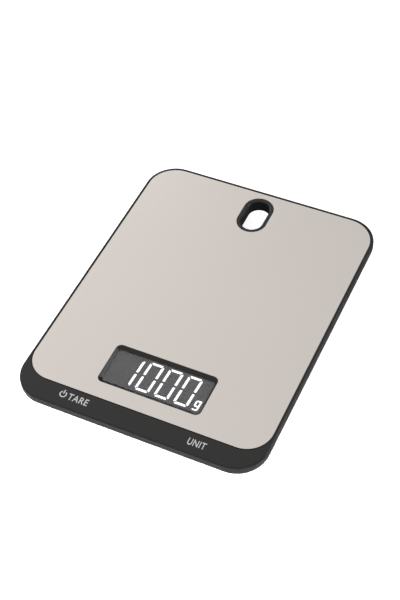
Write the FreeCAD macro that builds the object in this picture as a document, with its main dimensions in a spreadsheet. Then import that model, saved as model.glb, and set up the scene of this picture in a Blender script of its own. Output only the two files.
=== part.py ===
import FreeCAD, Part
import Sketcher
import math
import operator
import os
from types import SimpleNamespace

# Digital gram scale. X runs to the right, Y to the back, Z up, in millimetres.
# The origin is under the middle of the case, on the table that the feet stand on.

DIMENSIONS = {
    # Case seen from above
    "body_width": 163.4,
    "body_length": 210.8,
    "body_corner": 20.4,
    "bottom_round": 4.7,
    "rim_round": 1.1,
    "edge_round": 0.15,
    # Clearances and corners that many pieces share
    "fit_gap": 0.1,
    "tight_gap": 0.05,
    "sharp_corner": 0.1,
    "glass_edge": 0.5,
    # Levels above the table, from the lowest up
    "pod_bottom": 1.2,
    "slab_bottom": 7.8,
    "floor_top": 9.6,
    "board_bottom": 10.0,
    "board_top": 11.0,
    "cell_bottom": 11.2,
    "cell_top": 12.4,
    "parting_level": 12.7,
    "panel_under": 14.4,
    "lens_top": 15.2,
    "panel_top": 16.2,
    "plate_under": 16.4,
    "rim_top": 16.9,
    "plate_top": 17.0,
    # Case walls and the step that locates the two halves
    "upper_wall": 2.0,
    "lower_wall": 3.0,
    "step_height": 0.9,
    "step_gap": 0.1,
    # Platform; front and back are distances from the origin
    "plate_width": 159.2,
    "plate_front": 90.6,
    "plate_back": 103.1,
    "plate_corner_front": 16.7,
    "plate_corner_back": 18.7,
    "plate_gap": 0.6,
    "glue_margin": 1.0,
    # Display window, its bezel and what is behind it
    "window_width": 68.7,
    "window_length": 30.1,
    "window_corner": 3.6,
    "window_ahead": 64.6,
    "bezel_gap": 0.1,
    "bezel_rim": 0.35,
    "glass_width": 65.2,
    "glass_length": 25.1,
    "glass_corner": 2.0,
    "lens_width": 69.0,
    "lens_length": 29.0,
    "lens_gap": 0.2,
    "lens_corner": 1.5,
    "display_width": 70.0,
    "display_length": 30.0,
    "display_height": 1.8,
    "frame_wall": 2.0,
    "frame_gap": 0.2,
    "zebra_width": 1.4,
    "zebra_gap": 0.4,
    "light_margin": 1.5,
    # Hanging hole and its collar
    "hole_width": 20.4,
    "hole_front": 67.2,
    "hole_back": 99.0,
    "collar_gap": 0.1,
    "collar_wall": 2.8,
    "collar_round": 1.2,
    # Feet and load cells
    "foot_x": 62.0,
    "foot_y": 76.0,
    "pad_radius": 9.3,
    "pad_height": 2.2,
    "pad_chamfer": 0.4,
    "foot_radius": 11.0,
    "foot_skirt": 3.0,
    "foot_shoulder": 9.0,
    "foot_top": 7.0,
    "stem_radius": 5.5,
    "foot_hole_radius": 6.3,
    "cell_size": 28.0,
    "cell_corner": 4.0,
    "tongue_width": 18.2,
    "tongue_length": 20.2,
    "tongue_gap": 0.4,
    "clamp_outer": 27.0,
    "clamp_inner": 22.0,
    "foot_screw_radius": 1.25,
    "foot_screw_head": 2.75,
    "foot_screw_head_height": 1.2,
    "foot_screw_reach": 5.5,
    "gauge_ahead": 7.0,
    # Case screws
    "screw_side_x": 70.5,
    "screw_side_y": 35.0,
    "screw_front_x": 52.0,
    "screw_front_y": 97.0,
    "screw_back_x": 34.0,
    "screw_back_y": 94.0,
    "screw_radius": 1.1,
    "screw_head_radius": 2.3,
    "screw_head_height": 1.4,
    "boss_radius": 3.5,
    "boss_gap": 0.1,
    "boss_step": 0.5,
    "pilot_reach": 0.2,
    "shank_gap": 0.2,
    "head_recess": 0.2,
    "cross_length": 2.6,
    "cross_width": 0.7,
    "cross_depth": 0.7,
    # Circuit board
    "board_half_width": 46.0,
    "board_front": 101.5,
    "board_back": 46.0,
    "post_radius": 2.2,
    "pin_radius": 1.0,
    "post_side_x": 42.5,
    "post_side_y": 66.0,
    "post_front_x": 28.0,
    "post_front_y": 92.0,
    "touch_left_x": 40.0,
    "touch_right_x": 41.4,
    "touch_y": 97.0,
    "touch_radius": 3.8,
    "touch_wire": 0.3,
    "chip_x": -8.0,
    "chip_radius": 6.0,
    "wire_radius": 0.5,
    "wire_lift": 0.6,
    # Battery pod, seen from above; its middle is behind the origin
    "pod_middle": 5.0,
    "pod_half_width": 33.0,
    "pod_half_length": 15.6,
    "pod_corner": 4.0,
    "pod_round": 0.8,
    "bay_half_width": 26.6,
    "bay_half_length": 11.6,
    "bay_wall": 1.6,
    "bay_roof": 13.3,
    "bay_roof_top": 14.3,
    "recess_half_length": 13.4,
    "recess_depth": 1.35,
    "cover_half_width": 30.0,
    "cover_half_length": 13.1,
    "cover_thickness": 1.3,
    "cover_gap": 0.3,
    "cover_round": 0.3,
    "notch_half_length": 8.0,
    "notch_depth": 1.8,
    "snap_spread": 11.0,
    "snap_radius": 0.4,
    "snap_inset": 0.15,
    "snap_level": 0.7,
    "snap_length": 1.8,
    "snap_recess": 0.8,
    "snap_recess_length": 2.6,
    "snap_recess_height": 1.0,
    "snap_recess_level": 0.2,
    "grip_width": 0.8,
    "grip_depth": 0.4,
    "grip_inset": 4.0,
    "grip_length": 12.0,
    "grip_pitch": 2.0,
    "hinge_x": 29.1,
    "hinge_level": 3.3,
    "hinge_radius": 0.8,
    "hinge_knuckle": 1.3,
    "hinge_web": 1.7,
    "hinge_clearance": 0.2,
    "socket_depth": 1.2,
    "hinge_pocket": 31.5,
    "hinge_pocket_height": 5.3,
    "knuckle_inner": 11.9,
    "knuckle_outer": 13.1,
    "pin_end": 14.4,
    # AAA cells and their contacts
    "battery_radius": 5.25,
    "battery_body": 43.3,
    "battery_nub": 1.2,
    "battery_nub_radius": 1.9,
    "battery_level": 7.95,
    "battery_spacing": 5.6,
    "battery_reach": 25.0,
    "contact_thickness": 0.4,
    "contact_back": 0.05,
    "contact_height": 9.2,
    "contact_width": 9.0,
    "bridge_width": 20.0,
    "button_radius": 1.6,
    "spring_radius": 3.0,
    "spring_wire": 0.35,
    # Sticker under the case
    "label_half_width": 23.0,
    "label_front": 56.0,
    "label_back": 34.0,
    "label_thickness": 0.1,
}


class Size:
    """A length that carries its number and the sheet expression behind it."""

    def __init__(self, number, text):
        self.number = number
        self.text = text

    def __add__(self, other):
        return combined(self, "+", other)

    def __sub__(self, other):
        return combined(self, "-", other)

    def __mul__(self, other):
        return combined(self, "*", other)

    def __truediv__(self, other):
        return combined(self, "/", other)

    def __neg__(self):
        return combined(-1.0, "*", self)


ARITHMETIC = {"+": operator.add, "-": operator.sub, "*": operator.mul, "/": operator.truediv}


def as_size(value):
    if isinstance(value, Size):
        return value
    return Size(float(value), f"({float(value)})")


def combined(first, sign, second):
    first = as_size(first)
    second = as_size(second)
    number = ARITHMETIC[sign](first.number, second.number)
    return Size(number, f"({first.text} {sign} {second.text})")


doc = FreeCAD.newDocument("gram_scale")
sheet = doc.addObject("Spreadsheet::Sheet", "dims")
for row, (alias, number) in enumerate(DIMENSIONS.items(), start=1):
    sheet.set(f"A{row}", alias)
    sheet.set(f"B{row}", str(number))
    sheet.setAlias(f"B{row}", alias)
doc.recompute()
dims = SimpleNamespace(**{alias: Size(value, f"dims.{alias}") for alias, value in DIMENSIONS.items()})

NODES = []
CORNERS = {
    "front_left": (-1, -1),
    "front_right": (1, -1),
    "back_left": (-1, 1),
    "back_right": (1, 1),
}


# ---------------------------------------------------------------- sketches


def bind(thing, **sizes):
    """Tie properties to the sheet; two underscores stand for a dot in a property path."""
    for path, size in sizes.items():
        thing.setExpression(path.replace("__", "."), as_size(size).text)


def plane_sketch(body, name, offset, role="XY_Plane"):
    """A sketch parallel to one of the body's own origin planes, offset along the plane's normal."""
    sketch = body.newObject("Sketcher::SketchObject", f"{body.Name}_{name}")
    plane = [feature for feature in body.Origin.OriginFeatures if feature.Role == role][0]
    sketch.AttachmentSupport = [(plane, "")]
    sketch.MapMode = "FlatFace"
    bind(sketch, AttachmentOffset__Base__z=offset)
    return sketch


def constrain(sketch, size, kind, *elements):
    index = sketch.addConstraint(Sketcher.Constraint(kind, *elements, size.number))
    sketch.setExpression(f"Constraints[{index}]", size.text)


def locate(sketch, direction, element, point, size):
    """Fix one coordinate of a point, measured from the sketch's origin."""
    size = as_size(size)
    if abs(size.number) < 1e-9:
        axis = -2 if direction == "DistanceX" else -1
        sketch.addConstraint(Sketcher.Constraint("PointOnObject", element, point, axis))
    elif size.number > 0:
        constrain(sketch, size, direction, -1, 1, element, point)
    else:
        constrain(sketch, -size, direction, element, point, -1, 1)


def add_line(sketch, start, end):
    return sketch.addGeometry(Part.LineSegment(FreeCAD.Vector(*start, 0), FreeCAD.Vector(*end, 0)))


def add_arc(sketch, centre, radius, start_angle):
    """A quarter or half arc, anticlockwise; start_angle is a pair of angles in quarter turns."""
    circle = Part.Circle(FreeCAD.Vector(*centre, 0), FreeCAD.Vector(0, 0, 1), radius)
    first, last = start_angle
    return sketch.addGeometry(Part.ArcOfCircle(circle, first * math.pi / 2, last * math.pi / 2))


def rounded_rectangle(sketch, left, right, front, back, front_radius, back_radius=None):
    """Rectangle with round corners; the two front corners may differ from the two back ones."""
    back_radius = back_radius or front_radius
    x0, x1, y0, y1 = (as_size(edge).number for edge in (left, right, front, back))
    rf, rb = (as_size(radius).number for radius in (front_radius, back_radius))
    outline = [
        add_line(sketch, (x0 + rf, y0), (x1 - rf, y0)),
        add_arc(sketch, (x1 - rf, y0 + rf), rf, (3, 4)),
        add_line(sketch, (x1, y0 + rf), (x1, y1 - rb)),
        add_arc(sketch, (x1 - rb, y1 - rb), rb, (0, 1)),
        add_line(sketch, (x1 - rb, y1), (x0 + rb, y1)),
        add_arc(sketch, (x0 + rb, y1 - rb), rb, (1, 2)),
        add_line(sketch, (x0, y1 - rb), (x0, y0 + rf)),
        add_arc(sketch, (x0 + rf, y0 + rf), rf, (2, 3)),
    ]
    for element, following in zip(outline, outline[1:] + outline[:1]):
        sketch.addConstraint(Sketcher.Constraint("Tangent", element, 2, following, 1))
    front_line, front_arc, right_line, back_arc = outline[:4]
    back_line, left_back_arc, left_line, left_front_arc = outline[4:]
    for line in (front_line, back_line):
        sketch.addConstraint(Sketcher.Constraint("Horizontal", line))
    for line in (right_line, left_line):
        sketch.addConstraint(Sketcher.Constraint("Vertical", line))
    sketch.addConstraint(Sketcher.Constraint("Equal", front_arc, left_front_arc))
    sketch.addConstraint(Sketcher.Constraint("Equal", back_arc, left_back_arc))
    constrain(sketch, as_size(front_radius), "Radius", front_arc)
    constrain(sketch, as_size(back_radius), "Radius", back_arc)
    locate(sketch, "DistanceX", left_line, 1, left)
    locate(sketch, "DistanceX", right_line, 1, right)
    locate(sketch, "DistanceY", front_line, 1, front)
    locate(sketch, "DistanceY", back_line, 1, back)


def centred_rectangle(sketch, x, y, width, length, radius):
    x, y = as_size(x), as_size(y)
    rounded_rectangle(sketch, x - width / 2, x + width / 2, y - length / 2, y + length / 2, radius)


def stadium(sketch, width, front, back):
    """Long slot with half-round ends, on the line X = 0."""
    radius = width / 2
    r = radius.number
    y0, y1 = front.number + r, back.number - r
    outline = [
        add_line(sketch, (r, y0), (r, y1)),
        add_arc(sketch, (0, y1), r, (0, 2)),
        add_line(sketch, (-r, y1), (-r, y0)),
        add_arc(sketch, (0, y0), r, (2, 4)),
    ]
    for element, following in zip(outline, outline[1:] + outline[:1]):
        sketch.addConstraint(Sketcher.Constraint("Tangent", element, 2, following, 1))
    sketch.addConstraint(Sketcher.Constraint("Vertical", outline[0]))
    constrain(sketch, radius, "Radius", outline[1])
    locate(sketch, "DistanceX", outline[1], 3, 0)
    locate(sketch, "DistanceY", outline[1], 3, back - radius)
    locate(sketch, "DistanceY", outline[3], 3, front + radius)


def add_circle(sketch, x, y, radius):
    radius = as_size(radius)
    centre = FreeCAD.Vector(as_size(x).number, as_size(y).number, 0)
    circle = sketch.addGeometry(Part.Circle(centre, FreeCAD.Vector(0, 0, 1), radius.number))
    constrain(sketch, radius, "Radius", circle)
    locate(sketch, "DistanceX", circle, 3, x)
    locate(sketch, "DistanceY", circle, 3, y)


# ---------------------------------------------------------------- features


def new_body(name):
    body = doc.addObject("PartDesign::Body", name)
    body.Label = name
    NODES.append(body)
    return body


def extrude(body, kind, sketch, length, reverse=False, symmetric=False):
    feature = body.newObject(f"PartDesign::{kind}", f"{sketch.Name}_{kind.lower()}")
    feature.Profile = sketch
    feature.Reversed = reverse
    if symmetric:
        feature.SideType = "Symmetric"
    bind(feature, Length=length)
    return feature


def pad(body, sketch, height):
    return extrude(body, "Pad", sketch, height)


def cut_down(body, sketch, depth):
    return extrude(body, "Pocket", sketch, depth)


def cut_up(body, sketch, depth):
    return extrude(body, "Pocket", sketch, depth, reverse=True)


def level_edges(feature, level, half_width=None, front=None, back=None):
    """Names of the edges that lie flat at one height, all of them or those within the given limits."""
    doc.recompute()
    slack = 1e-3
    names = []
    for index, edge in enumerate(feature.Shape.Edges, start=1):
        box = edge.BoundBox
        if abs(box.ZMin - level.number) > slack or abs(box.ZMax - level.number) > slack:
            continue
        if half_width is not None:
            wide = max(-box.XMin, box.XMax) > half_width.number + slack
            if wide or box.YMin < front.number - slack or box.YMax > back.number + slack:
                continue
        names.append(f"Edge{index}")
    return names


def dress(body, kind, feature, edges, **sizes):
    dressing = body.newObject(f"PartDesign::{kind}", f"{feature.Name}_{kind.lower()}")
    dressing.Base = (feature, edges)
    bind(dressing, **sizes)
    return dressing


def slab(name, left, right, front, back, radius, bottom, height):
    """A flat piece with round corners and nothing cut out of it."""
    body = new_body(name)
    sketch = plane_sketch(body, "outline", bottom)
    rounded_rectangle(sketch, left, right, front, back, radius)
    pad(body, sketch, height)
    return body


def primitive(kind, name, x, y, z, turn=None, **sizes):
    thing = doc.addObject(f"Part::{kind}", name)
    if turn:
        thing.Placement = FreeCAD.Placement(FreeCAD.Vector(), turn)
    bind(thing, Placement__Base__x=x, Placement__Base__y=y, Placement__Base__z=z, **sizes)
    return thing


def box(name, x, y, z, length, width, height):
    """A block given by its middle in X and Y and its underside in Z."""
    corner_x = as_size(x) - as_size(length) / 2
    corner_y = as_size(y) - as_size(width) / 2
    return primitive("Box", name, corner_x, corner_y, z, Length=length, Width=width, Height=height)


def cylinder(name, x, y, z, radius, height, turn=None):
    return primitive("Cylinder", name, x, y, z, turn, Radius=radius, Height=height)


def fused(name, *pieces):
    whole = doc.addObject("Part::MultiFuse", name)
    whole.Shapes = list(pieces)
    return whole


def without(name, base, tool):
    rest = doc.addObject("Part::Cut", name)
    rest.Base = base
    rest.Tool = tool
    return rest


def group(name, pieces):
    """Separate solids that share one node."""
    compound = doc.addObject("Part::Compound", name)
    compound.Links = list(pieces)
    return compound


def node(thing):
    thing.Label = thing.Name
    NODES.append(thing)
    return thing


ALONG_X = FreeCAD.Rotation(FreeCAD.Vector(0, 1, 0), 90)
ALONG_MINUS_X = FreeCAD.Rotation(FreeCAD.Vector(0, 1, 0), -90)


# ---------------------------------------------------------------- shared places


def case_outline(sketch, inset):
    """The case's outline seen from above, or a smaller one inside it."""
    inset = as_size(inset)
    half_width = dims.body_width / 2 - inset
    half_length = dims.body_length / 2 - inset
    rounded_rectangle(sketch, -half_width, half_width, -half_length, half_length, dims.body_corner - inset)


def plate_outline(sketch, margin):
    """The platform's outline, or one that stands outside it by margin."""
    margin = as_size(margin)
    half_width = dims.plate_width / 2 + margin
    front = -dims.plate_front - margin
    back = dims.plate_back + margin
    front_corner = dims.plate_corner_front + margin
    back_corner = dims.plate_corner_back + margin
    rounded_rectangle(sketch, -half_width, half_width, front, back, front_corner, back_corner)


def window_outline(sketch, inset):
    inset = as_size(inset)
    width = dims.window_width - inset * 2
    length = dims.window_length - inset * 2
    centred_rectangle(sketch, 0, -dims.window_ahead, width, length, dims.window_corner - inset)


def hole_outline(sketch, inset):
    inset = as_size(inset)
    stadium(sketch, dims.hole_width - inset * 2, dims.hole_front + inset, dims.hole_back - inset)


def foot_places():
    return [(dims.foot_x * side, dims.foot_y * end) for side, end in CORNERS.values()]


def screw_places():
    places = []
    for side in (-1, 1):
        places.append((dims.screw_front_x * side, -dims.screw_front_y))
        places.append((dims.screw_side_x * side, -dims.screw_side_y))
        places.append((dims.screw_side_x * side, dims.screw_side_y))
        places.append((dims.screw_back_x * side, dims.screw_back_y))
    return places


def board_post_places():
    places = []
    for side in (-1, 1):
        places.append((dims.post_side_x * side, -dims.post_side_y))
        places.append((dims.post_front_x * side, -dims.post_front_y))
    return places


def circles(sketch, places, radius):
    for x, y in places:
        add_circle(sketch, x, y, radius)


def clamp_rings(sketch):
    """Square rings that hold the rim of each load cell."""
    for x, y in foot_places():
        centred_rectangle(sketch, x, y, dims.clamp_outer, dims.clamp_outer, dims.cell_corner)
        centred_rectangle(sketch, x, y, dims.clamp_inner, dims.clamp_inner, dims.cell_corner - 2)


# ---------------------------------------------------------------- platform


def top_plate():
    body = new_body("top_plate")
    sketch = plane_sketch(body, "outline", dims.plate_under)
    plate_outline(sketch, 0)
    window_outline(sketch, 0)
    hole_outline(sketch, 0)
    sheet_metal = pad(body, sketch, dims.plate_top - dims.plate_under)
    dress(body, "Fillet", sheet_metal, level_edges(sheet_metal, dims.plate_top), Radius=dims.edge_round)


def plate_adhesive():
    body = new_body("plate_adhesive")
    sketch = plane_sketch(body, "outline", dims.panel_top)
    plate_outline(sketch, -dims.glue_margin)
    window_outline(sketch, -dims.glue_margin)
    hole_outline(sketch, -dims.glue_margin)
    pad(body, sketch, dims.plate_under - dims.panel_top)


# ---------------------------------------------------------------- upper case


def upper_case():
    body = new_body("upper_case")
    sketch = plane_sketch(body, "outline", dims.parting_level)
    case_outline(sketch, 0)
    shell = pad(body, sketch, dims.rim_top - dims.parting_level)
    dress(body, "Fillet", shell, level_edges(shell, dims.rim_top), Radius=dims.rim_round)

    recess = plane_sketch(body, "plate_recess", dims.rim_top)
    plate_outline(recess, dims.plate_gap)
    window_outline(recess, dims.bezel_gap)
    hole_outline(recess, dims.collar_gap)
    sunk = cut_down(body, recess, dims.rim_top - dims.panel_top)
    half_width = dims.plate_width / 2 + dims.plate_gap
    front = -dims.plate_front - dims.plate_gap
    back = dims.plate_back + dims.plate_gap
    edges = level_edges(sunk, dims.rim_top, half_width, front, back)
    dress(body, "Fillet", sunk, edges, Radius=dims.edge_round)

    cavity = plane_sketch(body, "cavity", dims.parting_level)
    case_outline(cavity, dims.upper_wall)
    hole_outline(cavity, dims.collar_gap)
    cut_up(body, cavity, dims.panel_under - dims.parting_level)

    upper_case_window(body)
    upper_case_collar(body)

    clamps = plane_sketch(body, "cell_clamps", dims.cell_top)
    clamp_rings(clamps)
    pad(body, clamps, dims.panel_under - dims.cell_top)

    boss_end = dims.cell_bottom + dims.boss_gap
    bosses = plane_sketch(body, "screw_bosses", boss_end)
    circles(bosses, screw_places(), dims.boss_radius - dims.boss_step)
    pad(body, bosses, dims.panel_under - boss_end)
    pilots = plane_sketch(body, "screw_pilots", boss_end)
    circles(pilots, screw_places(), dims.screw_radius + dims.tight_gap)
    cut_up(body, pilots, dims.lens_top + dims.pilot_reach - boss_end)

    posts = plane_sketch(body, "board_posts", dims.board_top)
    circles(posts, board_post_places(), dims.post_radius)
    pad(body, posts, dims.panel_under - dims.board_top)
    pin_end = dims.board_bottom - dims.fit_gap
    pins = plane_sketch(body, "board_pins", pin_end)
    circles(pins, board_post_places(), dims.pin_radius)
    pad(body, pins, dims.board_top - pin_end)


def upper_case_window(body):
    """Sloping bezel down to the display, and the seat that holds the lens from below."""
    rim = plane_sketch(body, "bezel_top", dims.rim_top)
    window_outline(rim, dims.bezel_gap + dims.bezel_rim)
    glass = plane_sketch(body, "bezel_bottom", dims.lens_top)
    centred_rectangle(glass, 0, -dims.window_ahead, dims.glass_width, dims.glass_length, dims.glass_corner)
    bezel = body.newObject("PartDesign::SubtractiveLoft", "upper_case_bezel")
    bezel.Profile = rim
    bezel.Sections = [glass]
    bezel.Ruled = True
    seat = plane_sketch(body, "lens_seat", dims.panel_under)
    centred_rectangle(seat, 0, -dims.window_ahead, dims.lens_width, dims.lens_length, dims.glass_corner)
    cut_up(body, seat, dims.lens_top - dims.panel_under)


def upper_case_collar(body):
    """Tube around the hanging hole, down to the underside of the slab, with a round lip at both ends."""
    tube = plane_sketch(body, "collar", dims.slab_bottom)
    hole_outline(tube, dims.collar_gap)
    pad(body, tube, dims.panel_under - dims.slab_bottom)
    hole = plane_sketch(body, "hanging_hole", dims.slab_bottom)
    hole_outline(hole, dims.collar_gap + dims.collar_wall)
    opened = cut_up(body, hole, dims.rim_top - dims.slab_bottom)
    bore = dims.hole_width / 2 - dims.collar_gap - dims.collar_wall
    lips = []
    for level in (dims.slab_bottom, dims.rim_top):
        lips += level_edges(opened, level, bore, dims.hole_front, dims.hole_back)
    dress(body, "Fillet", opened, lips, Radius=dims.collar_round)


# ---------------------------------------------------------------- lower case


def lower_case():
    body = new_body("lower_case")
    sketch = plane_sketch(body, "outline", dims.slab_bottom)
    case_outline(sketch, 0)
    tray = pad(body, sketch, dims.parting_level - dims.slab_bottom)
    dress(body, "Fillet", tray, level_edges(tray, dims.slab_bottom), Radius=dims.bottom_round)

    cavity = plane_sketch(body, "cavity", dims.parting_level)
    case_outline(cavity, dims.lower_wall)
    cut_down(body, cavity, dims.parting_level - dims.floor_top)

    step = plane_sketch(body, "locating_step", dims.parting_level)
    case_outline(step, dims.upper_wall + dims.step_gap)
    case_outline(step, dims.lower_wall)
    pad(body, step, dims.step_height)

    pod = plane_sketch(body, "pod", dims.pod_bottom)
    pod_rectangle(pod, dims.pod_half_width, dims.pod_half_length, dims.pod_corner)
    block = pad(body, pod, dims.floor_top - dims.pod_bottom)
    dress(body, "Fillet", block, level_edges(block, dims.pod_bottom), Radius=dims.pod_round)
    bay = plane_sketch(body, "bay_walls", dims.floor_top)
    wall_x = dims.bay_half_width + dims.bay_wall
    wall_y = dims.bay_half_length + dims.bay_wall
    pod_rectangle(bay, wall_x, wall_y, dims.bay_wall)
    pad(body, bay, dims.bay_roof_top - dims.floor_top)
    lower_case_supports(body)
    lower_case_battery_bay(body)
    lower_case_openings(body)


def pod_rectangle(sketch, half_width, half_length, radius):
    middle = dims.pod_middle
    rounded_rectangle(sketch, -half_width, half_width, middle - half_length, middle + half_length, radius)


def lower_case_supports(body):
    posts = plane_sketch(body, "cell_posts", dims.floor_top)
    clamp_rings(posts)
    pad(body, posts, dims.cell_bottom - dims.floor_top)
    bosses = plane_sketch(body, "screw_bosses", dims.floor_top)
    circles(bosses, screw_places(), dims.boss_radius)
    pad(body, bosses, dims.cell_bottom - dims.floor_top)
    pads = plane_sketch(body, "board_pads", dims.floor_top)
    for side in (-1, 1):
        add_circle(pads, dims.post_side_x * side, -dims.post_side_y + 8, dims.post_radius)
        add_circle(pads, dims.post_front_x * side, -dims.post_front_y + 6, dims.post_radius)
    pad(body, pads, dims.board_bottom - dims.floor_top)


def lower_case_battery_bay(body):
    bay = plane_sketch(body, "bay", dims.pod_bottom)
    pod_rectangle(bay, dims.bay_half_width, dims.bay_half_length, 1)
    cut_up(body, bay, dims.bay_roof - dims.pod_bottom)

    middle = dims.pod_middle
    front = middle - dims.recess_half_length
    back = middle + dims.recess_half_length
    pocket_end = dims.hinge_x - dims.hinge_knuckle - dims.hinge_clearance
    recess = plane_sketch(body, "cover_recess", dims.pod_bottom)
    recess_right = dims.cover_half_width + dims.cover_gap
    rounded_rectangle(recess, -dims.hinge_pocket, recess_right, front, back, 1)
    cut_up(body, recess, dims.recess_depth)

    hinge = plane_sketch(body, "hinge_pocket", dims.pod_bottom)
    rounded_rectangle(hinge, -dims.hinge_pocket, -pocket_end, front, back, dims.sharp_corner)
    cut_up(body, hinge, dims.hinge_pocket_height)

    sockets = plane_sketch(body, "pin_sockets", -middle, "XZ_Plane")
    add_circle(sockets, -dims.hinge_x, dims.hinge_level, dims.hinge_radius + dims.tight_gap)
    across = (dims.recess_half_length + dims.socket_depth) * 2
    extrude(body, "Pocket", sockets, across, symmetric=True)

    notch = plane_sketch(body, "finger_notch", dims.pod_bottom)
    notch_left = dims.cover_half_width - dims.snap_radius
    notch_right = dims.pod_half_width + 2
    notch_front = middle - dims.notch_half_length
    rounded_rectangle(notch, notch_left, notch_right, notch_front, middle + dims.notch_half_length, 1)
    cut_up(body, notch, dims.notch_depth)
    for name, end in (("front", -1), ("back", 1)):
        snap = plane_sketch(body, f"snap_{name}", dims.pod_bottom + dims.snap_recess_level)
        y = middle + dims.snap_spread * end
        length = dims.snap_recess_length
        centred_rectangle(snap, recess_right, y, dims.snap_recess, length, dims.sharp_corner)
        cut_up(body, snap, dims.snap_recess_height)


def lower_case_openings(body):
    feet = plane_sketch(body, "foot_openings", dims.slab_bottom)
    circles(feet, foot_places(), dims.foot_hole_radius)
    cut_up(body, feet, dims.floor_top - dims.slab_bottom)
    hole = plane_sketch(body, "collar_opening", dims.slab_bottom)
    hole_outline(hole, -dims.collar_gap)
    cut_up(body, hole, dims.floor_top - dims.slab_bottom)
    heads = plane_sketch(body, "screw_counterbores", dims.slab_bottom)
    circles(heads, screw_places(), dims.screw_head_radius + dims.fit_gap)
    cut_up(body, heads, dims.screw_head_height + dims.head_recess)
    shanks = plane_sketch(body, "screw_holes", dims.slab_bottom)
    circles(shanks, screw_places(), dims.screw_radius + dims.shank_gap)
    cut_up(body, shanks, dims.cell_bottom - dims.slab_bottom)


# ---------------------------------------------------------------- display


def display():
    ahead = -dims.window_ahead
    lens_x = dims.lens_width / 2 - dims.lens_gap
    lens_y = dims.lens_length / 2 - dims.lens_gap
    height = dims.lens_top - dims.panel_under
    front, back = ahead - lens_y, ahead + lens_y
    slab("display_lens", -lens_x, lens_x, front, back, dims.lens_corner, dims.panel_under, height)

    glass_x = dims.display_width / 2
    glass_y = dims.display_length / 2
    glass_bottom = dims.panel_under - dims.display_height
    front, back = ahead - glass_y, ahead + glass_y
    slab("lcd_panel", -glass_x, glass_x, front, back, dims.glass_edge, glass_bottom, dims.display_height)

    light_height = glass_bottom - dims.board_top
    light_x = glass_x - dims.light_margin
    light_front = ahead - glass_y + dims.zebra_width + dims.zebra_gap * 2
    light_back = ahead + glass_y - dims.light_margin
    edge, level = dims.glass_edge, dims.board_top
    slab("lcd_backlight", -light_x, light_x, light_front, light_back, edge, level, light_height)
    zebra_back = light_front - dims.zebra_gap
    zebra_front = zebra_back - dims.zebra_width
    slab("zebra_strip", -light_x, light_x, zebra_front, zebra_back, 0.3, dims.board_top, light_height)

    body = new_body("lcd_frame")
    sketch = plane_sketch(body, "outline", dims.board_top)
    inner_x = dims.display_width + dims.frame_gap * 2
    inner_y = dims.display_length + dims.frame_gap * 2
    wall = dims.frame_wall * 2
    centred_rectangle(sketch, 0, ahead, inner_x + wall, inner_y + wall, dims.lens_corner)
    centred_rectangle(sketch, 0, ahead, inner_x, inner_y, dims.glass_edge)
    pad(body, sketch, dims.panel_under - dims.board_top)


# ---------------------------------------------------------------- circuit board


def main_pcb():
    body = new_body("main_pcb")
    sketch = plane_sketch(body, "outline", dims.board_bottom)
    half = dims.board_half_width
    rounded_rectangle(sketch, -half, half, -dims.board_front, -dims.board_back, 2)
    circles(sketch, board_post_places(), dims.pin_radius + dims.fit_gap)
    pad(body, sketch, dims.board_top - dims.board_bottom)


def board_parts():
    """Controller under a drop of resin, and the other parts in a row beside it."""
    level = dims.board_top
    row = -dims.post_front_y
    rim_height = 0.5
    chip_x, radius = dims.chip_x, dims.chip_radius
    rim = cylinder("chip_drop_rim", chip_x, row, level, radius, rim_height)
    crown = dict(Radius1=radius, Radius2=radius * 0.6, Height=0.7)
    drop = primitive("Cone", "chip_drop_crown", chip_x, row, level + rim_height, **crown)
    node(fused("controller_chip", rim, drop))

    pieces = [
        cylinder("supply_capacitor", dims.chip_x + 16, row, level, 2, 2.6),
        box("clock_crystal", dims.chip_x + 22, row, level, 2, 6, 1.5),
        box("amplifier_chip", dims.chip_x + 28, row, level, 4, 5, 1.4),
        box("lead_connector", dims.chip_x - 10, row, level, 6, 4, 2.4),
    ]
    for count in range(5):
        x = dims.chip_x + 14 + count * 3
        pieces.append(box(f"resistor_{count + 1}", x, row - 5.5, level, 1.6, 0.8, 0.5))
    node(group("pcb_components", pieces))


def touch_springs():
    """Coils between the board and the underside of the lip, below each key mark."""
    wire = dims.touch_wire
    start = dims.board_top + wire
    height = dims.panel_under - dims.board_top - wire * 2
    for name, x in (("tare", -dims.touch_left_x), ("unit", dims.touch_right_x)):
        node(coil(f"touch_spring_{name}", x, -dims.touch_y, start, dims.touch_radius, wire, height, 3))


def coil(name, x, y, z, radius, wire, height, turns, turn=None):
    """A coil spring: a round wire swept along a helix."""
    height = as_size(height)
    helix = primitive(
        "Helix", f"{name}_path", x, y, z, turn, Radius=radius, Height=height, Pitch=height / turns
    )
    helix.SegmentLength = 0.5
    if turn is None:
        turn = FreeCAD.Rotation()
    section = doc.addObject("Part::Circle", f"{name}_section")
    section.Placement.Rotation = turn.multiply(FreeCAD.Rotation(FreeCAD.Vector(1, 0, 0), 90))
    start = turn.multVec(FreeCAD.Vector(as_size(radius).number, 0, 0))
    bind(section, Radius=wire)
    bind(section, Placement__Base__x=as_size(x) + start.x)
    bind(section, Placement__Base__y=as_size(y) + start.y)
    bind(section, Placement__Base__z=as_size(z) + start.z)
    sweep = doc.addObject("Part::Sweep", name)
    sweep.Sections = [section]
    sweep.Spine = helix
    sweep.Solid = True
    sweep.Frenet = True
    return sweep


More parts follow.
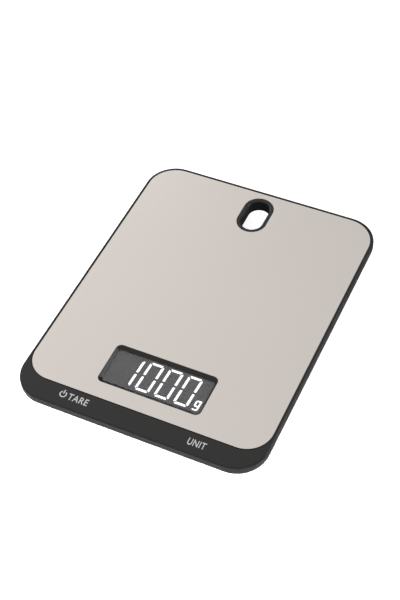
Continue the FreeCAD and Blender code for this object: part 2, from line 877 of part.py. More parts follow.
def lead(name, points, radius):
    """A wire with straight runs and one round bend, square on, at each inner point."""
    bend = 3.0
    edges = []
    start = points[0]
    for before, corner, after in zip(points, points[1:], points[2:]):
        entry = corner + (before - corner).normalize() * bend
        leaving = corner + (after - corner).normalize() * bend
        middle = corner + ((entry + leaving) * 0.5 - corner) * (2 - math.sqrt(2))
        edges.append(Part.LineSegment(start, entry).toShape())
        edges.append(Part.Arc(entry, middle, leaving).toShape())
        start = leaving
    edges.append(Part.LineSegment(start, points[-1]).toShape())
    path = Part.Wire(edges)
    direction = points[1] - points[0]
    section = Part.Wire([Part.Circle(points[0], direction, radius).toShape()])
    wire = doc.addObject("Part::Feature", name)
    wire.Shape = path.makePipeShell([section], True, True)
    return wire


def sensor_leads():
    """Three wires from the rim of each load cell to the board."""
    level = (dims.board_top + dims.wire_lift).number
    edge = (dims.foot_x - dims.cell_size / 2 - dims.fit_gap).number
    foot_y = dims.foot_y.number
    leads = []
    for corner, (side, end) in CORNERS.items():
        for count in (-1, 0, 1):
            y = foot_y * end + 1.2 * count
            start = FreeCAD.Vector(edge * side, y, level)
            if end < 0:
                points = [start, FreeCAD.Vector(40 * side, y, level)]
            else:
                x = (42.2 + 1.2 * count) * side
                turning = FreeCAD.Vector(x, y, level)
                points = [start, turning, FreeCAD.Vector(x, -dims.board_back.number - 3, level)]
            leads.append(lead(f"sensor_lead_{corner}_{count + 2}", points, dims.wire_radius.number))
    node(group("sensor_leads", leads))


def battery_leads():
    level = (dims.board_top + dims.wire_lift).number
    wall = (dims.bay_half_width + dims.bay_wall).number
    leads = []
    for index, side in enumerate((-1, 1)):
        x = 34.5 + 1.5 * index
        y = dims.pod_middle.number + dims.battery_spacing.number * side
        points = [
            FreeCAD.Vector(wall, y, level),
            FreeCAD.Vector(x, y, level),
            FreeCAD.Vector(x, -dims.board_back.number - 1, level),
        ]
        leads.append(lead(f"battery_lead_{index + 1}", points, dims.wire_radius.number))
    node(group("battery_leads", leads))


# ---------------------------------------------------------------- batteries


def batteries():
    """Two AAA cells side by side, facing opposite ways."""
    for index, (side, turn) in enumerate(((-1, ALONG_X), (1, ALONG_MINUS_X)), start=1):
        y = dims.pod_middle + dims.battery_spacing * side
        body_end = (dims.battery_reach - dims.battery_nub) * -side
        far_end = (dims.battery_reach - dims.battery_nub - dims.battery_body) * -side
        level = dims.battery_level
        name = f"battery_{index}"
        can = cylinder(name + "_can", far_end, y, level, dims.battery_radius, dims.battery_body, turn)
        nub = cylinder(name + "_nub", body_end, y, level, dims.battery_nub_radius, dims.battery_nub, turn)
        node(fused(name, can, nub))


def contact_plate(name, side, middle, width):
    """Sheet metal against the end wall of the bay."""
    thickness = dims.contact_thickness
    x = (dims.bay_half_width - dims.contact_back - thickness / 2) * side
    height = dims.contact_height
    return box(name, x, middle, dims.battery_level - height / 2, thickness, width, height)


def contact_button(name, side, y):
    """Raised button that meets the nub of a cell."""
    turn = ALONG_X if side > 0 else ALONG_MINUS_X
    reach = dims.battery_reach
    height = dims.bay_half_width - dims.contact_back - dims.contact_thickness - reach
    return cylinder(name, reach * side, y, dims.battery_level, dims.button_radius, height, turn)


def contact_coil(name, side, y):
    """Coil that presses on the flat end of a cell."""
    wire = dims.spring_wire
    flat_end = dims.battery_body + dims.battery_nub - dims.battery_reach
    plate_face = dims.bay_half_width - dims.contact_back - dims.contact_thickness
    start = flat_end + wire if side > 0 else -plate_face + wire
    length = plate_face - flat_end - wire * 2
    return coil(name, start, y, dims.battery_level, dims.spring_radius, wire, length, 4, ALONG_X)


def contacts():
    front = dims.pod_middle - dims.battery_spacing
    back = dims.pod_middle + dims.battery_spacing
    plus_plate = contact_plate("contact_plus_plate", 1, front, dims.contact_width)
    node(fused("contact_plus", plus_plate, contact_button("contact_plus_button", 1, front)))
    minus_plate = contact_plate("contact_minus_plate", 1, back, dims.contact_width)
    node(group("contact_minus", [minus_plate, contact_coil("contact_minus_coil", 1, back)]))
    bridge_plate = contact_plate("contact_bridge_plate", -1, dims.pod_middle, dims.bridge_width)
    bridge = fused("contact_bridge_body", bridge_plate, contact_button("contact_bridge_button", -1, back))
    node(group("contact_bridge", [bridge, contact_coil("contact_bridge_coil", -1, front)]))


def battery_cover():
    """Lid with two hinge pins at the left end, two snap bumps at the right end and grip grooves."""
    body = new_body("battery_cover")
    middle = dims.pod_middle
    sketch = plane_sketch(body, "outline", dims.pod_bottom)
    pod_rectangle(sketch, dims.cover_half_width, dims.cover_half_length, 1)
    lid = pad(body, sketch, dims.cover_thickness)
    dress(body, "Fillet", lid, level_edges(lid, dims.pod_bottom), Radius=dims.cover_round)

    web_bottom = dims.pod_bottom + dims.cover_round * 2
    web_middle = (dims.knuckle_inner + dims.knuckle_outer) / 2
    webs = plane_sketch(body, "hinge_webs", web_bottom)
    for end in (-1, 1):
        web_y = middle + web_middle * end
        web_length = dims.knuckle_outer - dims.knuckle_inner
        centred_rectangle(webs, -dims.hinge_x, web_y, dims.hinge_web, web_length, dims.sharp_corner)
    pad(body, webs, dims.hinge_level - web_bottom)
    for name, radius, inner, outer in (
        ("knuckle", dims.hinge_knuckle, dims.knuckle_inner, dims.knuckle_outer),
        ("pin", dims.hinge_radius, web_middle, dims.pin_end),
    ):
        for end in (-1, 1):
            offset = -middle - (inner + outer) / 2 * end
            label = f"hinge_{name}_{'front' if end < 0 else 'back'}"
            round_part = plane_sketch(body, label, offset, "XZ_Plane")
            add_circle(round_part, -dims.hinge_x, dims.hinge_level, radius)
            extrude(body, "Pad", round_part, outer - inner, symmetric=True)

    for name, end in (("front", -1), ("back", 1)):
        bump = plane_sketch(body, f"snap_{name}", -middle - dims.snap_spread * end, "XZ_Plane")
        bump_x = dims.cover_half_width - dims.snap_inset
        add_circle(bump, bump_x, dims.pod_bottom + dims.snap_level, dims.snap_radius)
        extrude(body, "Pad", bump, dims.snap_length, symmetric=True)
    grip = plane_sketch(body, "grip_grooves", dims.pod_bottom)
    for count in range(4):
        x = dims.cover_half_width - dims.grip_inset - dims.grip_pitch * count
        centred_rectangle(grip, x, middle, dims.grip_width, dims.grip_length, dims.grip_width * 0.375)
    cut_up(body, grip, dims.grip_depth)


# ---------------------------------------------------------------- feet and load cells


def load_cell(corner, x, y):
    """Steel plate in two parts: the clamped frame, and the tongue that bends under load."""
    frame = new_body(f"load_cell_frame_{corner}")
    sketch = plane_sketch(frame, "outline", dims.cell_bottom)
    window_width = dims.tongue_width + dims.tongue_gap * 2
    window_length = dims.tongue_length + dims.tongue_gap * 2
    centred_rectangle(sketch, x, y, dims.cell_size, dims.cell_size, dims.cell_corner)
    centred_rectangle(sketch, x, y, window_width, window_length, 2)
    pad(frame, sketch, dims.cell_top - dims.cell_bottom)

    tongue = new_body(f"load_cell_tongue_{corner}")
    sketch = plane_sketch(tongue, "outline", dims.cell_bottom)
    centred_rectangle(sketch, x, y, dims.tongue_width, dims.tongue_length, 1.6)
    add_circle(sketch, x, y, dims.foot_screw_radius + dims.fit_gap)
    for side in (-1, 1):
        centred_rectangle(sketch, x + 7 * side, y, 1, 14, 0.45)
    pad(tongue, sketch, dims.cell_top - dims.cell_bottom)

    node(box(f"strain_gauge_{corner}", x, y + dims.gauge_ahead, dims.cell_top, 7, 3.4, 0.15))


def foot(corner, x, y):
    """Cup that stands on a soft pad and carries the tongue on its stem."""
    skirt_top = dims.pod_bottom + dims.foot_skirt
    skirt = cylinder(f"foot_skirt_{corner}", x, y, dims.pod_bottom, dims.foot_radius, dims.foot_skirt)
    taper = dict(Radius1=dims.foot_radius, Radius2=dims.foot_shoulder, Height=dims.foot_top - skirt_top)
    shoulder = primitive("Cone", f"foot_shoulder_{corner}", x, y, skirt_top, **taper)
    stem_height = dims.cell_bottom - dims.foot_top
    stem = cylinder(f"foot_stem_{corner}", x, y, dims.foot_top, dims.stem_radius, stem_height)
    blank = fused(f"foot_blank_{corner}", skirt, shoulder, stem)
    seat = cylinder(f"foot_seat_{corner}", x, y, 0, dims.pad_radius + dims.fit_gap, dims.pad_height)
    pilot_depth = dims.foot_screw_reach + dims.boss_step
    pilot_bottom = dims.cell_bottom - pilot_depth
    pilot_radius = dims.foot_screw_radius + dims.tight_gap
    pilot = cylinder(f"foot_pilot_{corner}", x, y, pilot_bottom, pilot_radius, pilot_depth)
    node(without(f"foot_cup_{corner}", blank, fused(f"foot_tools_{corner}", seat, pilot)))

    body = new_body(f"foot_pad_{corner}")
    sketch = plane_sketch(body, "outline", 0)
    add_circle(sketch, x, y, dims.pad_radius)
    disc = pad(body, sketch, dims.pad_height)
    dress(body, "Chamfer", disc, level_edges(disc, as_size(0)), Size=dims.pad_chamfer)

    shank_bottom = dims.cell_bottom - dims.foot_screw_reach
    shank_height = dims.cell_top - shank_bottom
    shank = cylinder(f"foot_screw_shank_{corner}", x, y, shank_bottom, dims.foot_screw_radius, shank_height)
    head_height = dims.foot_screw_head_height
    head = cylinder(f"foot_screw_head_{corner}", x, y, dims.cell_top, dims.foot_screw_head, head_height)
    screw = fused(f"foot_screw_blank_{corner}", shank, head)
    slot = cross_slot(f"foot_cross_{corner}", x, y, dims.cell_top + head_height / 2, head_height / 2)
    node(without(f"foot_screw_{corner}", screw, slot))


def cross_slot(name, x, y, bottom, height):
    """Cross recess of a screw head."""
    length, width = dims.cross_length, dims.cross_width
    first = box(f"{name}_a", x, y, bottom, length, width, height)
    second = box(f"{name}_b", x, y, bottom, width, length, height)
    return fused(name, first, second)


def case_screws():
    """Eight screws from below; each head sits in its counterbore."""
    head_bottom = dims.slab_bottom + dims.head_recess
    head_height = dims.screw_head_height
    shank_bottom = head_bottom + head_height
    shank_height = dims.lens_top - shank_bottom
    screws = []
    for index, (x, y) in enumerate(screw_places(), start=1):
        head = cylinder(f"case_screw_head_{index}", x, y, head_bottom, dims.screw_head_radius, head_height)
        shank = cylinder(f"case_screw_shank_{index}", x, y, shank_bottom, dims.screw_radius, shank_height)
        blank = fused(f"case_screw_blank_{index}", head, shank)
        slot = cross_slot(f"case_screw_cross_{index}", x, y, head_bottom, dims.cross_depth)
        screws.append(without(f"case_screw_{index}", blank, slot))
    node(group("case_screws", screws))


def rating_label():
    """Blank sticker under the case, ahead of the battery pod."""
    half_width = dims.label_half_width
    front, back = -dims.label_front, -dims.label_back
    bottom = dims.slab_bottom - dims.label_thickness
    slab("rating_label", -half_width, half_width, front, back, 1.5, bottom, dims.label_thickness)


# ---------------------------------------------------------------- build, check, write


def check(document):
    """Stop if a feature failed, a sub-part is not a valid shape, or a pocket removed nothing."""
    for thing in document.Objects:
        if "Invalid" in thing.State or "Error" in thing.State:
            raise RuntimeError(f"{thing.Name} is {thing.State}")
        if thing.TypeId in ("PartDesign::Pocket", "PartDesign::SubtractiveLoft"):
            removed = thing.BaseFeature.Shape.Volume - thing.Shape.Volume
            if removed < 0.01:
                raise RuntimeError(f"{thing.Name} cuts nothing")
    for thing in NODES:
        if thing.Shape.isNull() or not thing.Shape.isValid():
            raise RuntimeError(f"{thing.Label} has no valid shape")


def build():
    top_plate()
    plate_adhesive()
    upper_case()
    lower_case()
    display()
    main_pcb()
    board_parts()
    touch_springs()
    sensor_leads()
    battery_leads()
    batteries()
    contacts()
    battery_cover()
    for (corner, _), (x, y) in zip(CORNERS.items(), foot_places()):
        load_cell(corner, x, y)
        foot(corner, x, y)
    case_screws()
    rating_label()


build()
doc.recompute()
check(doc)
os.makedirs("parts", exist_ok=True)
for thing in NODES:
    thing.Shape.exportStep(f"parts/{thing.Label}.step")
    print(f"{thing.Label}: {len(thing.Shape.Solids)} solid(s), {thing.Shape.Volume / 1000:.3f} cm3")
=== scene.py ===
import math

import bmesh
import bpy
from mathutils import Matrix, Quaternion, Vector


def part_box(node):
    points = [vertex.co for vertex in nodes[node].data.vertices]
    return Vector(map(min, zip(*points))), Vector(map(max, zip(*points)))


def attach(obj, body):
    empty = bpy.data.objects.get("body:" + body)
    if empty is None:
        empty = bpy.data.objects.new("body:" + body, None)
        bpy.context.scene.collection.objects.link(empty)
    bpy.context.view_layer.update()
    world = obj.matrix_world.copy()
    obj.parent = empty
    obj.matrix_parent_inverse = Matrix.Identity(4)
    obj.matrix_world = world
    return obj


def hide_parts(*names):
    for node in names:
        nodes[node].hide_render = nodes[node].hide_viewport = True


# Looks of a digital gram scale around its CAD frame. Every object stays at the origin of the row frame,
# so a place is in its mesh. Lengths in this script are millimetres, and MM turns them into metres.
MM = 0.001

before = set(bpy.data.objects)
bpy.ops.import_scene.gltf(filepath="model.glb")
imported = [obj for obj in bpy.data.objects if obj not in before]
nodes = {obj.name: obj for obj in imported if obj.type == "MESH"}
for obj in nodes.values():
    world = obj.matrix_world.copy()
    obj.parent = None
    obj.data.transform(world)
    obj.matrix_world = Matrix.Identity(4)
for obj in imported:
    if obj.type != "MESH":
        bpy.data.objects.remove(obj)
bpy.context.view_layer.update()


# ---------------------------------------------------------------- camera


def add_camera():
    """View from above, in front and to the right, with the picture turned a little."""
    camera = bpy.data.objects.new("camera", bpy.data.cameras.new("camera"))
    bpy.context.scene.collection.objects.link(camera)
    camera.data.sensor_width = 36.0
    camera.data.lens = 76.03
    azimuth = math.radians(28.26)
    elevation = math.radians(49.90)
    roll = math.radians(-4.254)
    aim = Vector((-2.76, 1.57, 17.0)) * MM
    distance = 801.84 * MM
    away = Vector(
        (
            math.sin(azimuth) * math.cos(elevation),
            -math.cos(azimuth) * math.cos(elevation),
            math.sin(elevation),
        )
    )
    camera.location = aim + away * distance
    camera.rotation_mode = "QUATERNION"
    camera.rotation_quaternion = away.to_track_quat("Z", "Y") @ Quaternion((0, 0, 1), roll)
    bpy.context.scene.camera = camera


add_camera()


# ---------------------------------------------------------------- places, read from the frame


def extent(node):
    """Lowest and highest corner of a CAD node, in millimetres."""
    low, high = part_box(node)
    return low / MM, high / MM


LCD = extent("lcd_panel")
RIM = extent("upper_case")
DISPLAY_MIDDLE = (LCD[0] + LCD[1]) / 2


# ---------------------------------------------------------------- mesh helpers


def piece(name, mesh_maker, body, slot, *replaced):
    """Make a mesh in millimetres with mesh_maker(bm), and let it ride on a CAD body."""
    bm = bmesh.new()
    mesh_maker(bm)
    bmesh.ops.recalc_face_normals(bm, faces=bm.faces)
    bm.transform(Matrix.Scale(MM, 4))
    mesh = bpy.data.meshes.new(name)
    bm.to_mesh(mesh)
    bm.free()
    made = bpy.data.objects.new(name, mesh)
    bpy.context.scene.collection.objects.link(made)
    made.data.materials.append(FINISH[slot])
    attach(made, body)
    if replaced:
        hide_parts(*replaced)
    return made


def raise_prism(bm, outline, bottom, top):
    """Closed prism over a flat outline of (x, y) points."""
    lower = [bm.verts.new((x, y, bottom)) for x, y in outline]
    upper = [bm.verts.new((x, y, top)) for x, y in outline]
    bm.faces.new(lower[::-1])
    bm.faces.new(upper)
    for index in range(len(outline)):
        after = (index + 1) % len(outline)
        bm.faces.new((lower[index], lower[after], upper[after], upper[index]))


def arc(centre, radius, start, end, steps):
    """Points along a circle, with angles in degrees."""
    points = []
    for step in range(steps + 1):
        angle = math.radians(start + (end - start) * step / steps)
        points.append((centre[0] + radius * math.cos(angle), centre[1] + radius * math.sin(angle)))
    return points


def ribbon(points, width):
    """Outline of a stroke of even width along open points, with square ends and mitred corners."""
    line = [Vector(point) for point in points]
    left, right = [], []
    for index, point in enumerate(line):
        before = line[max(index - 1, 0)]
        after = line[min(index + 1, len(line) - 1)]
        into = (point - before).normalized() if index > 0 else (after - point).normalized()
        out = (after - point).normalized() if index < len(line) - 1 else into
        tangent = (into + out).normalized()
        normal = Vector((-tangent.y, tangent.x))
        reach = width / 2 / max(normal.dot(Vector((-into.y, into.x))), 0.3)
        left.append(tuple(point + normal * reach))
        right.append(tuple(point - normal * reach))
    return left + right[::-1]


# ---------------------------------------------------------------- materials


# Most of a noise pattern lies between these two values
PATTERN_MIDDLE = (0.3, 0.7)


class Surface:
    """A material's node tree, with short calls for the nodes that the finishes share."""

    def __init__(self, name):
        self.material = bpy.data.materials.new(name)
        self.material.use_nodes = True
        self.tree = self.material.node_tree
        self.shader = self.tree.nodes["Principled BSDF"]
        self.place = self.add("ShaderNodeTexCoord").outputs["Object"]

    def add(self, kind, inputs=None, **settings):
        node = self.tree.nodes.new(kind)
        for key, value in settings.items():
            setattr(node, key, value)
        for key, value in (inputs or {}).items():
            self.feed(node.inputs[key], value)
        return node

    def feed(self, socket, value):
        if isinstance(value, bpy.types.NodeSocket):
            self.tree.links.new(value, socket)
        else:
            socket.default_value = value

    def set(self, **values):
        """Set or link the shader's own sockets; underscores stand for spaces."""
        for key, value in values.items():
            self.feed(self.shader.inputs[key.replace("_", " ")], value)

    def stretched(self, x, y, z):
        """Place scaled per axis: a larger number makes finer detail along that axis."""
        return self.add("ShaderNodeMapping", {"Vector": self.place, "Scale": (x, y, z)}).outputs[0]

    def noise(self, per_metre, detail=2.0, vector=None):
        inputs = {"Vector": vector or self.place, "Scale": per_metre, "Detail": detail}
        return self.add("ShaderNodeTexNoise", inputs).outputs["Fac"]

    def span(self, value, low, high):
        """Map a pattern's middle range onto low to high."""
        node = self.add("ShaderNodeMapRange", {"Value": value, "To Min": low, "To Max": high})
        node.inputs["From Min"].default_value, node.inputs["From Max"].default_value = PATTERN_MIDDLE
        return node.outputs[0]

    def blend(self, share, first, second):
        """Mix two colours by a pattern."""
        mix = self.add("ShaderNodeMix", data_type="RGBA")
        self.feed(mix.inputs["Factor"], share)
        self.feed(mix.inputs[6], first)
        self.feed(mix.inputs[7], second)
        return mix.outputs[2]

    def show_either(self, share, other):
        """Give a share of the output to another shader, and leave the rest to the main one."""
        mix = self.add("ShaderNodeMixShader", {0: share, 1: self.shader.outputs[0], 2: other})
        self.feed(self.tree.nodes["Material Output"].inputs["Surface"], mix.outputs[0])

    def bump(self, height, depth, strength=1.0):
        """Relief whose full depth is given in millimetres."""
        inputs = {"Height": height, "Distance": depth * MM, "Strength": strength}
        self.feed(self.shader.inputs["Normal"], self.add("ShaderNodeBump", inputs).outputs[0])


def tone(level, warmth=0.0):
    """Grey of one linear level, a little warmer or cooler."""
    return (level * (1 + warmth), level, level * (1 - warmth), 1.0)


BRUSH_LINES = (40, 5200, 900)
BRUSH_SPREAD = 0.04
BRUSH_SHADE = 0.965
CLOUD_SPREAD = 0.012


def brushed(name, colour, roughness):
    """Metal with fine straight brush lines along X."""
    surface = Surface(name)
    grain = surface.noise(1.0, 3.0, surface.stretched(*BRUSH_LINES))
    cloud = surface.noise(14, 2.0)
    shade = tuple(channel * BRUSH_SHADE for channel in colour[:3]) + (1.0,)
    from_lines = surface.span(grain, -BRUSH_SPREAD, BRUSH_SPREAD)
    from_cloud = surface.span(cloud, roughness - CLOUD_SPREAD, roughness + CLOUD_SPREAD)
    surface.set(
        Base_Color=surface.blend(surface.span(grain, 0, 1), shade, colour),
        Metallic=1.0,
        Roughness=surface.add("ShaderNodeMath", {0: from_lines, 1: from_cloud}, operation="ADD").outputs[0],
    )
    surface.bump(grain, 0.004, 0.35)
    return surface.material


def moulded(name, colour, roughness=0.42, grain=3600, depth=0.012):
    """Moulded plastic with a fine spark-eroded grain."""
    surface = Surface(name)
    pits = surface.noise(grain, 3.0)
    cloud = surface.noise(30, 3.0)
    lighter = tuple(channel * 1.18 for channel in colour[:3]) + (1.0,)
    surface.set(
        Base_Color=surface.blend(surface.span(cloud, 0, 1), colour, lighter),
        Roughness=surface.span(cloud, roughness - 0.03, roughness + 0.03),
    )
    surface.bump(pits, depth, 0.4)
    return surface.material


def clear_lens(name):
    """Smoke tinted acrylic window, which lets the light of the lamps through to the display."""
    surface = Surface(name)
    wipe = surface.noise(1.0, 2.0, surface.stretched(60, 20, 60))
    surface.set(
        Base_Color=(0.86, 0.86, 0.87, 1.0),
        Roughness=surface.span(wipe, 0.015, 0.04),
        Transmission_Weight=1.0,
        IOR=1.49,
    )
    passed = surface.add("ShaderNodeBsdfTransparent", {"Color": (0.84, 0.84, 0.85, 1.0)}).outputs[0]
    lamp = surface.add("ShaderNodeLightPath").outputs["Is Shadow Ray"]
    surface.show_either(lamp, passed)
    return surface.material


def display_dark(name):
    """Dark display glass with a faint uneven haze, painted a mid grey: a painted reflection over a display
    that is black.
    """
    surface = Surface(name)
    cloud = surface.noise(22, 2.0)
    surface.set(
        # The mid grey base is a painted reflection, standing in for the black display seen through the haze
        # of the lens.
        Base_Color=surface.blend(surface.span(cloud, 0, 1), tone(0.110, -0.02), tone(0.125, -0.02)),
        Roughness=surface.span(cloud, 0.32, 0.4),
    )
    return surface.material


def lit_figure(name):
    """White figures, lit from behind."""
    surface = Surface(name)
    cloud = surface.noise(200, 1.0)
    surface.set(
        Base_Color=surface.blend(surface.span(cloud, 0, 1), tone(0.9), tone(0.95)),
        Emission_Color=(1.0, 1.0, 1.0, 1.0),
        Emission_Strength=1.1,
        Roughness=0.5,
    )
    return surface.material


def white_print(name):
    """Pad printed ink, very slightly uneven."""
    surface = Surface(name)
    cloud = surface.noise(2500, 2.0)
    surface.set(
        Base_Color=surface.blend(surface.span(cloud, 0, 1), tone(0.88), tone(0.94)),
        Roughness=surface.span(cloud, 0.4, 0.55),
    )
    return surface.material


FINISH = {
    "platform_steel": brushed("platform_steel", (0.82, 0.762, 0.712, 1.0), 0.36),
    "black_case": moulded("black_case", tone(0.006, 0.03), 0.38),
    "display_lens": clear_lens("display_lens"),
    "display_glass": display_dark("display_glass"),
    "light_guide": moulded("light_guide", (0.86, 0.88, 0.90, 1.0), 0.25, 900, 0.01),
    "white_plastic": moulded("white_plastic", (0.76, 0.76, 0.74, 1.0)),
    "contact_rubber": moulded("contact_rubber", (0.28, 0.28, 0.29, 1.0), 0.7, 2500, 0.02),
    "circuit_board": moulded("circuit_board", (0.02, 0.16, 0.06, 1.0), 0.3),
    "potting": moulded("potting", tone(0.012), 0.22, 500, 0.05),
    "component_black": moulded("component_black", tone(0.03), 0.5),
    "spring_steel": brushed("spring_steel", (0.72, 0.72, 0.70, 1.0), 0.22),
    "lead_insulation": moulded("lead_insulation", (0.42, 0.03, 0.025, 1.0), 0.45),
    "battery_can": brushed("battery_can", (0.46, 0.48, 0.52, 1.0), 0.34),
    "screw_steel": brushed("screw_steel", (0.62, 0.62, 0.60, 1.0), 0.3),
    "cell_steel": brushed("cell_steel", (0.58, 0.58, 0.57, 1.0), 0.32),
    "gauge_film": moulded("gauge_film", (0.62, 0.40, 0.10, 1.0), 0.3),
    "foot_rubber": moulded("foot_rubber", tone(0.02), 0.75, 1500, 0.03),
    "label_film": moulded("label_film", (0.56, 0.56, 0.55, 1.0), 0.35),
    "bonding_film": moulded("bonding_film", (0.7, 0.7, 0.68, 1.0), 0.6),
}
LIT = lit_figure("lit_figure")
INK = white_print("white_print")


def finish_cad_nodes():
    """Every carried-over CAD node takes the finish of its own material slot."""
    for node in nodes.values():
        for entry in node.material_slots:
            entry.material = FINISH[entry.material.name.split(".")[0]]


# ---------------------------------------------------------------- figures on the display

FIGURE_LENGTH = 22.2
FIGURE_WIDTH = 9.67
FIGURE_PITCH = 12.92
FIGURE_STROKE = 1.6
FIGURE_SLANT = math.tan(math.radians(2.6))
SEGMENT_GAP = 0.62
WAIST_GAP = 1.5
FIGURE_BEHIND = 0.35
LAST_FIGURE_RIGHT = 24.8
FIGURE_THICKNESS = 0.03
FIGURE_NICK = 0.75
# The display glass ends, and the lit figures start, this far under the top of the CAD display panel
GLASS_TOP_GAP = 0.04


def segment_outlines(lit):
    """Outlines of lit segments in a figure's own frame: X from the right edge, Y from the middle."""
    half = FIGURE_LENGTH / 2
    left = -FIGURE_WIDTH
    stroke = FIGURE_STROKE
    nick = FIGURE_NICK
    gap = SEGMENT_GAP
    waist = WAIST_GAP / 2
    shapes = []
    for name in lit:
        if name in "ad":
            sign = 1 if name == "a" else -1
            outline = [
                (left + nick + gap, half),
                (-nick - gap, half),
                (-nick * 0.45 - gap, half - nick * 0.55),
                (-stroke - gap * 0.4, half - stroke),
                (left + stroke + gap * 0.4, half - stroke),
                (left + nick * 0.45 + gap, half - nick * 0.55),
            ]
            shapes.append([(x, y * sign) for x, y in outline])
        else:
            sign = 1 if name in "bf" else -1
            end = half - nick - gap
            outline = [
                (-stroke + 0.25, waist),
                (-0.25, waist),
                (0.0, waist + 0.3),
                (0.0, end - 0.25),
                (-nick * 0.55, end + nick * 0.45),
                (-stroke, half - stroke - gap),
                (-stroke, waist + 0.3),
            ]
            if name in "ef":
                outline = [(left - x, y) for x, y in outline]
            shapes.append([(x, y * sign) for x, y in outline])
    return shapes


def unit_g_outlines():
    """Small g of straight strokes, right of the last figure."""
    stroke = 1.05
    left, right, front, back = 27.65 + stroke / 2, 31.4 - stroke / 2, -11.25 + stroke / 2, -3.8 - stroke / 2
    middle = front + (back - front) * 0.42
    bend = 0.55
    bowl = [
        (right, middle),
        (left + bend, middle),
        (left, middle + bend),
        (left, back - bend),
        (left + bend, back),
        (right, back),
    ]
    tail = [
        (right, back + stroke / 2),
        (right, front + bend),
        (right - bend, front),
        (left + bend * 0.6, front),
        (left - 0.2, front + bend * 0.8),
    ]
    return [ribbon(bowl, stroke), ribbon(tail, stroke)]


def display_figures():
    """The reading 1000 g, as thin lit segments on the display glass under the lens."""
    bottom = LCD[1].z - GLASS_TOP_GAP
    top = bottom + FIGURE_THICKNESS

    def make(bm):
        middle = Vector((0.0, DISPLAY_MIDDLE.y + FIGURE_BEHIND))
        for index, lit in enumerate(("bc", "abcdef", "abcdef", "abcdef")):
            right = LAST_FIGURE_RIGHT - FIGURE_PITCH * (3 - index)
            for outline in segment_outlines(lit):
                placed = [(right + x + y * FIGURE_SLANT, middle.y + y) for x, y in outline]
                raise_prism(bm, placed, bottom, top)
        for outline in unit_g_outlines():
            raise_prism(bm, [(x + y * FIGURE_SLANT, middle.y + y) for x, y in outline], bottom, top)

    figures = piece("display_figures", make, "case", "display_glass")
    figures.data.materials[0] = LIT


def display_stack():
    """Display glass under the lens: rear glass, and a front glass that leaves a ledge for the contacts."""
    low, high = LCD
    top = high.z - GLASS_TOP_GAP
    ledge = 1.8
    glass_gap = 0.02

    def make(bm):
        split = (low.z + top) / 2
        whole = [(low.x, low.y), (high.x, low.y), (high.x, high.y), (low.x, high.y)]
        front = [(low.x, low.y + ledge), (high.x, low.y + ledge), (high.x, high.y), (low.x, high.y)]
        raise_prism(bm, whole, low.z, split - glass_gap)
        raise_prism(bm, front, split, top)

    piece("display_glass", make, "case", "display_glass", "lcd_panel")


# ---------------------------------------------------------------- prints on the front lip

PRINT_HEIGHT = 0.02


def printed_word(name, word, left, right, front, back):
    """A short function word in the plain built-in lettering, fitted to a rectangle on the lip."""
    curve = bpy.data.curves.new(name, "FONT")
    curve.body = word
    curve.offset = 0.011
    curve.space_character = 1.08
    curve.extrude = 0.5
    writer = bpy.data.objects.new(name + "_curve", curve)
    bpy.context.scene.collection.objects.link(writer)
    mesh = bpy.data.meshes.new_from_object(writer.evaluated_get(bpy.context.evaluated_depsgraph_get()))
    bpy.data.objects.remove(writer)
    places = [vertex.co.copy() for vertex in mesh.vertices]
    low = Vector(min(place[axis] for place in places) for axis in range(3))
    high = Vector(max(place[axis] for place in places) for axis in range(3))
    size = high - low
    for vertex in mesh.vertices:
        share = [(vertex.co[axis] - low[axis]) / size[axis] for axis in range(3)]
        vertex.co = Vector(
            (
                left + (right - left) * share[0],
                front + (back - front) * share[1],
                RIM[1].z + PRINT_HEIGHT * share[2],
            )
        ) * MM
    made = bpy.data.objects.new(name, mesh)
    bpy.context.scene.collection.objects.link(made)
    made.data.materials.clear()
    made.data.materials.append(INK)
    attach(made, "case")


def power_mark():
    """On and off mark: a ring open at the back, with a bar in the opening."""
    stroke = 0.74
    centre = (-47.5, -96.75)
    radius = 1.98
    bottom, top = RIM[1].z, RIM[1].z + PRINT_HEIGHT

    def make(bm):
        raise_prism(bm, ribbon(arc(centre, radius, 122, 418, 30), stroke), bottom, top)
        bar = [(centre[0], centre[1] + 0.4), (centre[0], centre[1] + 3.2)]
        raise_prism(bm, ribbon(bar, stroke), bottom, top)

    mark = piece("power_mark", make, "case", "black_case")
    mark.data.materials[0] = INK


# ---------------------------------------------------------------- floor, lights


def area_light(name, place, aim, size, power):
    """White rectangular lamp at a place in metres, turned towards its aim."""
    data = bpy.data.lights.new(name, "AREA")
    data.shape = "RECTANGLE"
    data.size, data.size_y = size
    data.energy = power
    light = bpy.data.objects.new(name, data)
    light.location = place
    light.rotation_mode = "QUATERNION"
    light.rotation_quaternion = (Vector(place) - Vector(aim)).to_track_quat("Z", "Y")
    bpy.context.scene.collection.objects.link(light)
    return light


FLOOR_GLOW = 0.8
FLOOR_HALF = 6.0


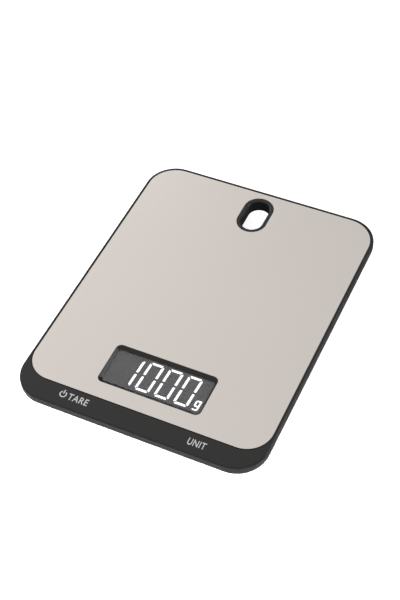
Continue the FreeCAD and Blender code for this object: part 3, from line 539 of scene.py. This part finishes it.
def add_floor():
    """White floor to the eye, grey to what the object mirrors of it, and clear when seen from below."""
    surface = Surface("floor")
    rays = surface.add("ShaderNodeLightPath").outputs
    cloud = surface.noise(3, 2.0)
    grey = surface.blend(surface.span(cloud, 0, 1), tone(0.30), tone(0.32))
    white = surface.blend(surface.span(cloud, 0, 1), tone(0.88), tone(0.90))
    surface.set(
        Base_Color=surface.blend(rays["Is Camera Ray"], grey, white),
        Roughness=surface.span(cloud, 0.8, 0.9),
        Specular_IOR_Level=0.2,
        Emission_Color=(1.0, 1.0, 1.0, 1.0),
        Emission_Strength=surface.add(
            "ShaderNodeMath", {0: rays["Is Camera Ray"], 1: FLOOR_GLOW}, operation="MULTIPLY"
        ).outputs[0],
    )
    below = surface.add("ShaderNodeNewGeometry").outputs["Backfacing"]
    passed = surface.add(
        "ShaderNodeMath", {0: below, 1: rays["Is Shadow Ray"]}, operation="MAXIMUM"
    ).outputs[0]
    clear = surface.add("ShaderNodeBsdfTransparent").outputs[0]
    surface.show_either(passed, clear)
    bm = bmesh.new()
    bmesh.ops.create_grid(bm, x_segments=8, y_segments=8, size=FLOOR_HALF)
    mesh = bpy.data.meshes.new("floor")
    bm.to_mesh(mesh)
    bm.free()
    floor = bpy.data.objects.new("floor", mesh)
    bpy.context.scene.collection.objects.link(floor)
    floor.data.materials.append(surface.material)


CEILING_LIGHT = 0.71
CEILING_FROM = 0.75
WALL_LIGHT = 0.10
LEFTWARD_RISE = 0.5
BACKDROP_LIGHT = 1.05


def light_room():
    """World: a bright ceiling over dim walls, stronger on the left, and a white backdrop to the eye."""
    world = bpy.data.worlds.new("studio")
    bpy.context.scene.world = world
    world.use_nodes = True
    tree = world.node_tree
    direction = tree.nodes.new("ShaderNodeTexCoord").outputs["Generated"]
    axes = tree.nodes.new("ShaderNodeSeparateXYZ")
    tree.links.new(direction, axes.inputs[0])

    def ramp(value, low, high, at_low, at_high):
        step = tree.nodes.new("ShaderNodeMapRange")
        numbers = {"From Min": low, "From Max": high, "To Min": at_low, "To Max": at_high}
        for socket, number in numbers.items():
            step.inputs[socket].default_value = number
        tree.links.new(value, step.inputs["Value"])
        return step.outputs[0]

    def product(first, second):
        node = tree.nodes.new("ShaderNodeMath")
        node.operation = "MULTIPLY"
        tree.links.new(first, node.inputs[0])
        tree.links.new(second, node.inputs[1])
        return node.outputs[0]

    upward = ramp(axes.outputs["Z"], 0.0, CEILING_FROM, WALL_LIGHT, CEILING_LIGHT)
    leftward = ramp(axes.outputs["X"], -1.0, 1.0, 1 + LEFTWARD_RISE, 1 - LEFTWARD_RISE)
    background = tree.nodes["Background"]
    background.inputs["Color"].default_value = (1.0, 1.0, 1.0, 1.0)
    tree.links.new(product(upward, leftward), background.inputs["Strength"])
    backdrop = tree.nodes.new("ShaderNodeBackground")
    backdrop.inputs["Color"].default_value = (1.0, 1.0, 1.0, 1.0)
    backdrop.inputs["Strength"].default_value = BACKDROP_LIGHT
    mix = tree.nodes.new("ShaderNodeMixShader")
    tree.links.new(tree.nodes.new("ShaderNodeLightPath").outputs["Is Camera Ray"], mix.inputs[0])
    tree.links.new(background.outputs[0], mix.inputs[1])
    tree.links.new(backdrop.outputs[0], mix.inputs[2])
    tree.links.new(mix.outputs[0], tree.nodes["World Output"].inputs["Surface"])


def light_only(lights, name, lit):
    """Let lights fall on a few objects and on nothing else."""
    receivers = bpy.data.collections.new(name)
    for thing in lit:
        receivers.objects.link(thing)
    for light in lights:
        light.light_linking.receiver_collection = receivers


def add_light():
    """Room light and dim soft boxes for all, and stronger ones for the case halves or the floor only."""
    light_room()
    area_light("back_left_box", (-0.9, 0.9, 0.7), (0, 0, 0), (0.9, 0.6), 0.8)
    area_light("front_right_box", (0.9, -0.9, 0.4), (0, 0, 0), (0.9, 0.6), 0.5)
    area_light("under_box", (0.1, -0.3, -0.8), (0, 0, 0), (0.8, 0.8), 3)
    floor = bpy.data.objects["floor"]
    trim_lights = [
        area_light("left_trim_box", (-1.15, 0.42, 0.25), (0, 0, 0), (0.4, 0.4), 2.5),
        area_light("right_back_trim_box", (1.1, 0.55, 0.35), (0, 0, 0), (0.5, 0.4), 4),
        area_light("front_right_trim_box", (0.9, -0.9, 0.4), (0, 0, 0), (0.7, 0.4), 3),
    ]
    light_only(trim_lights, "trim", (nodes["upper_case"], nodes["lower_case"], floor))
    strip = area_light("floor_strip", (0.0, -0.25, 0.18), (0, -0.13, 0), (0.5, 0.05), 2.0)
    light_only([strip], "floor_in_front", [floor])
    bpy.context.scene.view_settings.view_transform = "Standard"


finish_cad_nodes()
display_stack()
display_figures()
printed_word("print_tare", "TARE", -43.9, -30.5, -99.3, -94.6)
printed_word("print_unit", "UNIT", 35.7, 47.0, -99.8, -95.1)
power_mark()
add_floor()
add_light()
